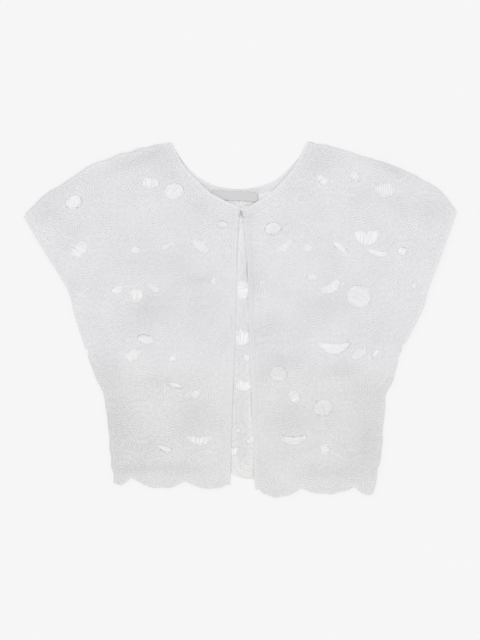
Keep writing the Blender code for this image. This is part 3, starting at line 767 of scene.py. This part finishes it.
def across_openings(rings, behind, seed):
    """The loose chains that cross a wide open gap the short way, a few millimetres apart, some of them missing."""
    rng = np.random.default_rng(seed + 100)
    found = []
    for ring, middle, half, _, backed in gaps_of(rings, behind):
        if half < 2.0 or backed:
            continue
        spread = ring - middle
        longways = np.linalg.eigh(spread.T @ spread)[1][:, 1]
        longways = longways if longways[0] > 0 else -longways
        reach = (spread @ longways).max()
        for along in np.arange(1.5 - reach, reach - 0.5, rng.uniform(2.4, 3.8)):
            way = np.array((-longways[1], longways[0])) + rng.normal(0, 0.15) * longways
            line = middle + (along + rng.normal(0, 0.3)) * longways + np.arange(-14, 14.1, 0.4)[:, None] * way
            within = line[inside(line, [ring])]
            if rng.uniform() < 0.85 and len(within) > 3:
                found.append((within[0] - 1.2 * way, within[-1] + 1.2 * way))
    return np.array(found)


def joined(name, pieces):
    """One object of several."""
    bpy.ops.object.select_all(action="DESELECT")
    for piece in pieces:
        piece.select_set(True)
    bpy.context.view_layer.objects.active = pieces[0]
    bpy.ops.object.join()
    pieces[0].name = name
    pieces[0].data.name = name
    return pieces[0]


def fixed(piece, node=None):
    """The piece rides on the garment's one body, and stands for a node if one is given."""
    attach(piece, "root")
    if node is not None:
        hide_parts(node)
    return piece


def lace_panel(node, first, hem_row, creases, seed, forms, cotton, raised=True, windows=None, pads=()):
    """One panel: its ground, its trebles and its chains, from the forms of a treble and of a link, in a yarn and
    its mesh. The wheels of a raised panel stand up, and its gaps show what is behind it."""
    post_form, link_form = forms
    yarn, mesh = cotton
    rings = rings_of(node)
    wheels = wheels_of(first, hem_row, rings)
    domes = wheels if raised else None
    lie = lie_of(node, creases, 2.0 if len(pads) else 4.0, pads)

    def worked(pairs, form, stitch, name=f"{node}_chains"):
        wide, high, lift = stitch
        return copied(name, form, *on_lie(pairs, lie, domes, lift), wide, high, yarn)

    posts, links, slots = worked_wheels(wheels, rings, seed, back_rings, windows)
    ground = web_mesh(f"{node}_ground", rings, slots, lie, domes, mesh)
    trebles = worked(posts, post_form, TREBLE, f"{node}_trebles")
    rims = [edge_links(curved(rings[0], *OUTLINE), EDGE_ROOM, LINK_LONG)]
    rims += [edge_links(curved(ring, 2.0), EDGE_ROOM, LINK_LONG) for ring in rings[1:]]
    # Of the back's gaps, only those between the two fronts show from above.
    wide, behind = rings[1:], back_rings
    if not raised:
        wide, behind = [ring for ring in wide if STRIP_FROM < ring[:, 0].mean() < STRIP_TO], ()
    chains = [
        worked(twisted(links), link_form, CHAIN),
        worked(twisted(np.vstack(rims)), link_form, RIM_CHAIN),
        worked(into_gaps(wide, behind, seed), link_form, SHORT_TREBLE),
        worked(across_openings(wide, behind, seed), link_form, LOOSE_CHAIN),
    ]
    if raised:
        chains.append(worked(across_gaps(rings[1:], back_rings), link_form, GAP_BAR))
    fixed(ground, node)
    stitches = [fixed(piece) for piece in (trebles, joined(f"{node}_chains", chains))]
    return ground, stitches, slots, lie, wheels


RIGHT_CREASES = (
    (-250, 170, 80, 9, 62, 0.9), (-222, 120, 70, 8, 66, -0.6), (-180, 215, 70, 10, 25, 0.6),
    (-60, 130, 60, 8, -60, 0.7), (-110, 60, 70, 9, 12, 0.7), (-200, -20, 60, 8, -35, 0.8),
    (-150, -90, 70, 9, -12, 0.6), (-60, -40, 70, 8, 80, 0.5), (-100, -170, 60, 10, 20, 0.7),
    (-170, -200, 50, 8, 70, 0.5), (-40, -210, 40, 8, -30, 0.4),
)
RIGHT_HEM_ROW = ((-51, -240), (-127, -233), (-182, -238))
right_ground, right_lace, right_slots, right_lie, right_wheels = lace_panel(
    "right_front", (-152.0, 231.0), RIGHT_HEM_ROW, RIGHT_CREASES, 11, (treble, chain_link), (lace_yarn, lace_mesh)
)


# The left front: the same lace, worked the same way round, so it isn't a mirror image of the right front. Its
# wheels and its creases have places of their own.
LEFT_CREASES = (
    (262, 160, 80, 9, -58, 0.9), (230, 110, 70, 8, -62, -0.5), (170, 228, 70, 10, -22, 0.6), (60, 120, 60, 8, 55, 0.6),
    (120, 40, 70, 9, -15, 0.7), (215, -20, 60, 8, 30, 0.8), (150, -100, 70, 9, 14, 0.6), (60, -60, 70, 8, -80, 0.5),
    (100, -175, 60, 10, -20, 0.7), (180, -200, 50, 8, -72, 0.5), (60, -235, 50, 8, 12, 0.4),
)
LEFT_HEM_ROW = ((59, -245), (136, -242), (193, -246))
left_ground, left_lace, left_slots, left_lie, left_wheels = lace_panel(
    "left_front", (165.0, 241.0), LEFT_HEM_ROW, LEFT_CREASES, 23, (treble, chain_link), (lace_yarn, lace_mesh)
)


# The back: one panel of the same lace, flat on the table. It shows at the neck, between the fronts and
# through their gaps, so its stitches are drawn with fewer sides.
BACK_HEM_ROW = ((-180, -236), (-130, -222), (-60, -221), (12, -222), (88, -228), (152, -235), (196, -246))
# The same cotton with light coming up through it, so a paler white.
back_yarn = cotton_yarn("mercerised_cotton_yarn_lit_from_below", "f9f9fa", "eaeaec")
back_mesh = lace_ground("fine_cotton_mesh_lit_from_below", "f9f9fa", "e9e9eb")
plain_treble = model_strand("plain_treble", sides=4, rings=3, flat=0.8, twist=0.6)
plain_link = model_strand("plain_link", sides=4, rings=2, flat=0.85, twist=0.5)
# It is open under the fronts' slots, a third wider than they are, so that the light table shows through them.
under_slots = np.concatenate([right_slots, left_slots])
under_slots = under_slots.mean(1, keepdims=True) + 1.35 * (under_slots - under_slots.mean(1, keepdims=True))
# It stands up a little between the fronts, less so towards the hem, and into the fronts' gaps.
BACK_HIGH = 1.9
FADE_FROM, FADE_LONG = -240.0, 30.0
pads = [
    (np.array(((-5.0, 118.0), (9.0, 118.0), (6.0, 172.0), (-2.0, 172.0))), 1.9),
    (np.array(((-13.0, -20.0), (17.0, -20.0), (10.0, 120.0), (-6.0, 120.0))), 1.8),
    (
        np.array(((-17.7, FADE_FROM), (24.2, FADE_FROM), (17.0, -22.0), (-13.0, -22.0))),
        lambda at: 1.5 * np.clip((at[:, 1] - FADE_FROM) / FADE_LONG, 0, 1),
    ),
]
for node, lie, wheels in (("right_front", right_lie, right_wheels), ("left_front", left_lie, left_wheels)):
    for ring, _, _, most, backed in gaps_of(rings_of(node)[1:], back_rings):
        if backed:
            sunk = BACK_HIGH - (1.2 if most * 2 < SMALL_GAP else 1.7)
            pads.append((
                ring, lambda at, lie=lie, wheels=wheels, sunk=sunk: height(lie, at) + dome(at, wheels) - sunk
            ))
back_ground, back_lace, _, _, _ = lace_panel(
    "back", (-120.0, 250.0), BACK_HEM_ROW, (), 37, (plain_treble, plain_link), (back_yarn, back_mesh),
    raised=False, windows=under_slots, pads=pads,
)


# The neck bands: a firm band of double crochet in three rows, with a rolled edge. The back band runs on round
# the neck as the two front ones, which lie on it and on the label.
ROW_PACE = 3.4
# How high above the rails the rows, the seam, the low roll and the end chain lie
ROWS_AT, SEAM_AT, LOW_ROLL_AT, END_AT = 1.75, 1.7, 0.95, 1.2
# How wide and how high each kind of strand in a band is
ROW_STRAND = (1.75, 1.2)
ROLL_STRAND = (2.0, 1.5)
SEAM_STRAND = (1.6, 1.1)
END_STRAND = (2.1, 2.0)
LOW_ROLL_STRAND = (2.1, 1.9)
# The upright edges of a CAD band, at its outer and at its inner side: how high they are, and how far above the
# underside they start. The band's rails are found by them.
RAIL_EDGES = ((1.2, 0.6), (1.9, 0.0))


def rails_of(node):
    """The outer and the inner edge of an edging's underside, each from end to end."""
    points, triangles = cad_points(node)
    edges = {tuple(sorted((int(t[i]), int(t[(i + 1) % 3])))) for t in triangles for i in range(3)}
    rails = []
    for rise, sunk in RAIL_EDGES:
        feet = set()
        for a, b in edges:
            run = np.abs(points[b] - points[a])
            if max(run[0], run[1]) < 0.02 and abs(run[2] - rise) < 0.03:
                feet.add(a if points[a][2] < points[b][2] else b)
        near = {foot: [] for foot in feet}
        for a, b in edges:
            if a in feet and b in feet:
                near[a].append(b)
                near[b].append(a)
        place = min(foot for foot in feet if len(near[foot]) == 1)
        rail = []
        while place is not None:
            rail.append(place)
            place = next((other for other in near[place] if other not in rail), None)
        rails.append(points[rail] - (0, 0, sunk))
    outer, inner = rails
    if spans(outer[:1] - inner[:1]) > spans(outer[:1] - inner[-1:]):
        inner = inner[::-1]
    return outer, inner


def open_curve(points, shares):
    """Points on a smooth curve through the given ones, each at a share of its whole length."""
    lengths = np.concatenate([[0], np.cumsum(spans(np.diff(points, axis=0)))])
    places = np.interp(shares, lengths / lengths[-1], np.arange(len(points)))
    padded = np.vstack([2 * points[:1] - points[1:2], points, 2 * points[-1:] - points[-2:-1]])
    number = np.clip(places.astype(int), 0, len(points) - 2)
    t = (places - number)[:, None]
    before, start, end, after = (padded[number + i] for i in range(4))
    bend = (end - before) * t + (2 * before - 5 * start + 4 * end - after) * t**2
    return start + (bend + (3 * start - before - 3 * end + after) * t**3) / 2


def marks_along(rail, pace):
    """Marks along a rail about one pace apart, as shares of its length."""
    return np.linspace(0, 1, max(4, round(spans(np.diff(rail, axis=0)).sum() / pace)) + 1)


def on_band(band, places, share, rise):
    """Points part of the way from a band's outer to its inner edge."""
    outer, inner, _ = band
    return open_curve(outer, places) * (1 - share) + open_curve(inner, places) * share + (0, 0, rise)


def band_body(name, band, material):
    """The band under its stitches: a thin closed strip, rolled over at its outer edge and let down at its inner one
    to close on the panel. Its section is given from the outer edge, as how far across and how high."""
    outer, _, width = band
    section = (
        (0.9, 0.35), (0.3, 0.6), (0.0, 1.1), (0.2, 1.6), (0.8, 2.1), (1.5, 2.1), (2.1, 1.85),
        (width - 0.5, 1.85), (width + 0.4, 1.6), (width + 0.6, 1.1), (width + 0.5, -0.7),
        (width - 0.3, -0.7), (width - 0.6, 0.8), (2.2, 0.8),
    )
    places = marks_along(outer, 3.5)
    rows = np.stack([on_band(band, places, across / width, rise) for across, rise in section], 1)
    rows[..., 2] = np.maximum(rows[..., 2], 0.1)
    size, count = len(section), len(places)
    faces = [
        (i * size + j, i * size + (j + 1) % size, (i + 1) * size + (j + 1) % size, (i + 1) * size + j)
        for i in range(count - 1) for j in range(size)
    ]
    faces += [tuple(range(size))[::-1], tuple(range((count - 1) * size, count * size))]
    if np.cross(rows[1, 0] - rows[0, 0], rows[0, 7] - rows[0, 0])[2] > 0:
        faces = [face[::-1] for face in faces]
    corners = np.concatenate([np.array(face) for face in faces])
    return new_mesh(name, rows.reshape(-1, 3), corners, [len(face) for face in faces], material)


def leaning(band, pace, back, on, across, rise):
    """One strand to each stitch along a band, as starts and ends. It starts a part of a stitch back and ends a part
    of one on, and goes from one share of the width to another and from one height to another."""
    marks = marks_along(band[0], pace)
    step = marks[1:] - marks[:-1]
    starts = on_band(band, np.maximum(marks[:-1] - back * step, 0), across[0], rise[0])
    return starts, on_band(band, np.minimum(marks[1:] + on * step, 1), across[1], rise[1])


def band_stitches(band, rows, pace):
    """Two leaning strands to each stitch of a row, which meet in a V."""
    width = band[2]
    strands = [
        leaning(band, pace, 0.15, 0.0, (np.array((1.0, 0.25)) * wide + across) / width, (ROWS_AT, ROWS_AT + 0.25))
        for across, half in rows for wide in (-half, half)
    ]
    return [np.vstack(ends) for ends in zip(*strands)]


def edge_rope(band, across, pace, rise, lean=0.03):
    """One leaning strand to each stitch of a rolled edge."""
    share = across / band[2]
    return leaning(band, pace, 0.2, 0.2, (share - lean, share + lean), (rise, rise))


def end_chain(band):
    """The chain that finishes a band's lower end, as starts and ends."""
    outer, _, width = band
    across = np.linspace(0.04, 0.96, round(width / 2.3) + 1)[:, None]
    end = 0.0 if outer[0][1] < outer[-1][1] else 1.0
    places, before = (on_band(band, np.full(len(across), at), across, END_AT) for at in (end, abs(end - 0.02)))
    beyond = (places - before) / spans(places - before)[:, None]
    along = np.diff(places, axis=0) * 0.2
    return places[:-1] + 0.15 * beyond[:-1] - along, places[1:] + 0.75 * beyond[1:] + along


def worked_band(node, width, rows, pace, form, drop=None):
    """An edging: its body, its rows of double crochet, the roll of its outer edge, the seam at its inner one and
    the chain at its lower end. Where it has a drop, the roll has a second chain below it, that far out."""
    band = (*rails_of(node), width)
    strands = [
        (band_stitches(band, rows, pace), ROW_STRAND),
        (edge_rope(band, 0.9, pace * 0.85, ROWS_AT), ROLL_STRAND),
        (edge_rope(band, width + 0.15, pace, SEAM_AT, 0.05), SEAM_STRAND),
        (end_chain(band), END_STRAND),
    ]
    if drop is not None:
        strands.append((edge_rope(band, -drop, pace * 0.85, LOW_ROLL_AT), LOW_ROLL_STRAND))
    parts = [band_body(f"{node}_crochet", band, trim_mesh)]
    parts += [copied(f"{node}_crochet", form, *ends, *size, trim_yarn) for ends, size in strands]
    return fixed(joined(f"{node}_crochet", parts), node)


# The same cotton, worked close: a shade whiter than the lace, as no gaps show in it.
trim_yarn = cotton_yarn("mercerised_cotton_edging_yarn", "f1f1f3", "e8e8ea")
trim_mesh = cotton_yarn("mercerised_cotton_band", "f1f1f3", "e8e8ea")
edgings = {
    node: worked_band(node, 11.0, ((3.9, 0.85), (6.5, 0.85), (9.1, 0.85)), ROW_PACE, chain_link, drop)
    for node, drop in (("back_neck_band", None), ("right_neck_band", 0.3), ("left_neck_band", 0.3))
}


# The front edgings: one row of double crochet in the same cotton, worked down each front edge from the neck to
# the hem, and finished with a rolled chain.
for node in ("right_front_edging", "left_front_edging"):
    edgings[node] = worked_band(node, 5.5, ((3.7, 0.9),), 3.2, chain_link, drop=0.4)


# The armhole edgings: one narrow row of double crochet round the end of each cap sleeve, half of it on the front
# and half on the back. The back's halves lie on the table, so their stitches have fewer sides.
for side in ("right", "left"):
    for half, form in (("front", chain_link), ("back", plain_link)):
        node = f"{side}_{half}_armhole_edging"
        edgings[node] = worked_band(node, 4.5, ((3.0, 0.8),), ROW_PACE, form)


# The shoulder and side seams: the fronts and the back are overcast together, edge to edge, with the same yarn.
# Each stitch goes over the two edges, from the front's upper side down to the back.
SEAM_PACE = 3.3
SEAM_STITCH = (1.6, 1.4)
# The shoulder seams are over the first height. The side seams are outside a distance, and between two heights.
SHOULDERS_OVER, SIDES_OUT, SIDES_UNDER, SIDES_END = 165.0, 185.0, -48.0, -228.0
seam_starts, seam_ends = [], []
back_edge = curved(back_rings[0], 1.5)
for node, lie in (("right_front", right_lie), ("left_front", left_lie)):
    stitches = edge_links(curved(rings_of(node)[0], *OUTLINE), 0.0, SEAM_PACE)
    places, following = stitches[:, 0], stitches[:, 1]
    x, y = places[:, 0], places[:, 1]
    at_side = (y < SIDES_UNDER) & (y > SIDES_END) & (abs(x) > SIDES_OUT)
    sewn = (nearest(places, back_edge) < 1.0) & (at_side | (y > SHOULDERS_OVER))
    along = (following - places)[sewn] / SEAM_PACE
    places = places[sewn]
    inward = leftward(along)
    upper = places + 1.6 * inward
    upper = np.column_stack([upper, height(lie, upper) + LACE_HIGH + 0.9])
    lower = np.column_stack([places + 0.9 * inward + 0.45 * SEAM_PACE * along, np.full(len(places), 0.75)])
    turn = np.column_stack([places - 0.8 * inward + 0.22 * SEAM_PACE * along, (upper[:, 2] + lower[:, 2]) / 2])
    seam_starts += [upper, turn + 0.1 * (turn - lower)]
    seam_ends += [turn + 0.1 * (turn - upper), lower]
seams = copied(
    "overcast_seams", plain_treble, np.vstack(seam_starts), np.vstack(seam_ends), *SEAM_STITCH, lace_yarn
)
fixed(seams)


# The label: a woven taffeta tape folded in at both ends and sewn to the inside of the back neck with cotton
# thread. It lies a little turned, and it is left bare.
LABEL_LONG = 71.5
LABEL_HIGH = 14.0
LABEL_THICK = 0.35
LABEL_TURN = math.radians(-4)
LABEL_AT = (-9.0, 191.6)
FOLD_FROM = 0.452
LABEL_STITCH = (0.6, 0.5)
label_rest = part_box("label")[0][2] / MM


def on_tape(along, up):
    """Where a place on the label is, given from the label's own middle."""
    return (
        LABEL_AT[0] + along * math.cos(LABEL_TURN) - up * math.sin(LABEL_TURN),
        LABEL_AT[1] + along * math.sin(LABEL_TURN) + up * math.cos(LABEL_TURN),
    )


bpy.ops.object.select_all(action="DESELECT")
bpy.ops.mesh.primitive_grid_add(x_subdivisions=56, y_subdivisions=16, size=1.0)
label = bpy.context.object
label.name = "woven_label"
for vertex in label.data.vertices:
    x, y = vertex.co.x, vertex.co.y
    folded = 0.16 if abs(x) > FOLD_FROM else 0.0
    sag = 0.18 * math.sin(9 * x + 1.1) * (1 - 2 * abs(y)) + 0.1 * math.sin(17 * x + 3 * y)
    up = y * LABEL_HIGH * (1 - 0.25 * max(0.0, -x - 0.38)) + 0.25 * math.sin(5 * x)
    vertex.co = Vector((*on_tape(x * LABEL_LONG, up), label_rest + 0.4 + folded + sag * 0.5)) * MM
thicken = label.modifiers.new("tape", "SOLIDIFY")
thicken.thickness = LABEL_THICK * MM
thicken.offset = -1.0
bpy.ops.object.modifier_apply(modifier="tape")
label.data.shade_smooth()
label.data.set_sharp_from_angle(angle=math.radians(50))
# Polyester taffeta, woven narrow: a cool grey white with a satin gloss and fine ribs along the tape. The ribs
# are about 3 mm apart, several times as coarse as real ones, so that they show.
tape, tree, shader = new_material("woven_taffeta_tape")
place = add_node(tree, "TexCoord").outputs["Object"]
rib = add_node(
    tree, "TexWave", {"Vector": place, "Scale": 320.0, "Distortion": 0.3, "Detail": 1.0},
    wave_type="BANDS", bands_direction="Y",
).outputs["Fac"]
colour = add_node(tree, "Mix", {0: rib, 6: from_hex("cdcdce"), 7: from_hex("dadadb")}, data_type="RGBA")
bump = add_node(tree, "Bump", {"Strength": 0.4, "Distance": 0.0001, "Height": rib})
set_inputs(shader, {
    "Base Color": colour.outputs[2], "Normal": bump.outputs[0], "Roughness": 0.5, "Specular IOR Level": 0.4,
})
label.data.materials.append(tape)
fixed(label, "label")
stitch_up = np.tile(np.linspace(-5.0, 5.0, 6), 2)
stitch_side = np.repeat((-1.0, 1.0), 6)
stitch_ends = [
    np.column_stack([*on_tape(stitch_side * along, up), np.full(len(up), label_rest + rise)])
    for along, up, rise in (
        (LABEL_LONG / 2 - 1.7, stitch_up - 0.25, 0.8), (LABEL_LONG / 2 + 0.7, stitch_up + 0.25, 0.4)
    )
]
label_stitches = copied("label_stitches", plain_link, *stitch_ends, *LABEL_STITCH, trim_yarn)
fixed(label_stitches)


# The hook and eye: round steel wire, bent cold and nickel plated, the hook closed on the eye. Each is sewn down
# with a few turns of thread.
WIRE_THICK = 1.0
THREAD = (0.5, 0.95)
EYE_ROUTE = (
    (5.0, 158.4, 4.6), (2.9, 158.6, 4.6), (1.2, 159.8, 4.6), (0.5, 161.6, 4.6),
    (0.5, 163.4, 4.6), (1.2, 165.2, 4.6), (2.9, 166.4, 4.6), (4.4, 166.6, 4.6),
)
HOOK_ROUTE = (
    (-1.5, 162.5, 4.3), (-0.9, 162.5, 5.4), (0.2, 162.5, 5.95), (1.5, 162.5, 5.9), (2.4, 162.5, 5.3),
    (2.7, 162.5, 4.6), (2.4, 162.5, 3.9), (1.6, 162.5, 3.4), (0.7, 162.5, 3.25),
)
# Nickel plating on drawn wire: a bright, slightly warm grey, clouded by small patches of wear about 1 mm wide.
nickel, tree, shader = new_material("nickel_plated_steel_wire")
place = add_node(tree, "TexCoord").outputs["Object"]
cloud = add_node(tree, "TexNoise", {"Vector": place, "Scale": 900.0, "Detail": 2.0}).outputs["Fac"]
colour = add_node(tree, "Mix", {0: cloud, 6: from_hex("cfcfd1"), 7: from_hex("dfdfe0")}, data_type="RGBA")
wear = add_node(tree, "MapRange", {"Value": cloud, 3: 0.22, 4: 0.4})
set_inputs(shader, {"Base Color": colour.outputs[2], "Roughness": wear.outputs[0], "Metallic": 1.0})


def bent_wire(name, node, route):
    """A round wire bent along a route, with closed ends."""
    line = bpy.data.curves.new(name, "CURVE")
    line.dimensions = "3D"
    line.resolution_u = 5
    line.bevel_depth = WIRE_THICK / 2 * MM
    line.bevel_resolution = 3
    line.use_fill_caps = True
    spline = line.splines.new("BEZIER")
    spline.bezier_points.add(len(route) - 1)
    for point, place in zip(spline.bezier_points, route):
        point.co = Vector(place) * MM
        point.handle_left_type = point.handle_right_type = "AUTO"
    piece = bpy.data.objects.new(name, line)
    bpy.context.scene.collection.objects.link(piece)
    bpy.ops.object.select_all(action="DESELECT")
    piece.select_set(True)
    bpy.context.view_layer.objects.active = piece
    bpy.ops.object.convert(target="MESH")
    piece = bpy.context.object
    bpy.ops.object.shade_smooth_by_angle(angle=math.radians(50))
    piece.data.materials.clear()
    piece.data.materials.append(nickel)
    return fixed(piece, node)


bent_wire("neck_eye_wire", "neck_eye", EYE_ROUTE)
bent_wire("neck_hook_wire", "neck_hook", HOOK_ROUTE)
# Three turns over each end of the eye, and three over the hook's shank: their middles and half their lengths
turns = [((3.9 + 0.45 * i, up, 4.75), (0.1, 0.85, 0.0)) for up in (158.5, 166.5) for i in range(3)]
turns += [((-1.3 + 0.4 * i, 162.5, 5.15), (0.05, 0.8, 0.0)) for i in range(3)]
middles, halves = np.array(turns).transpose(1, 0, 2)
fixed(copied("sewing_thread", plain_link, middles - halves, middles + halves, *THREAD, trim_yarn))
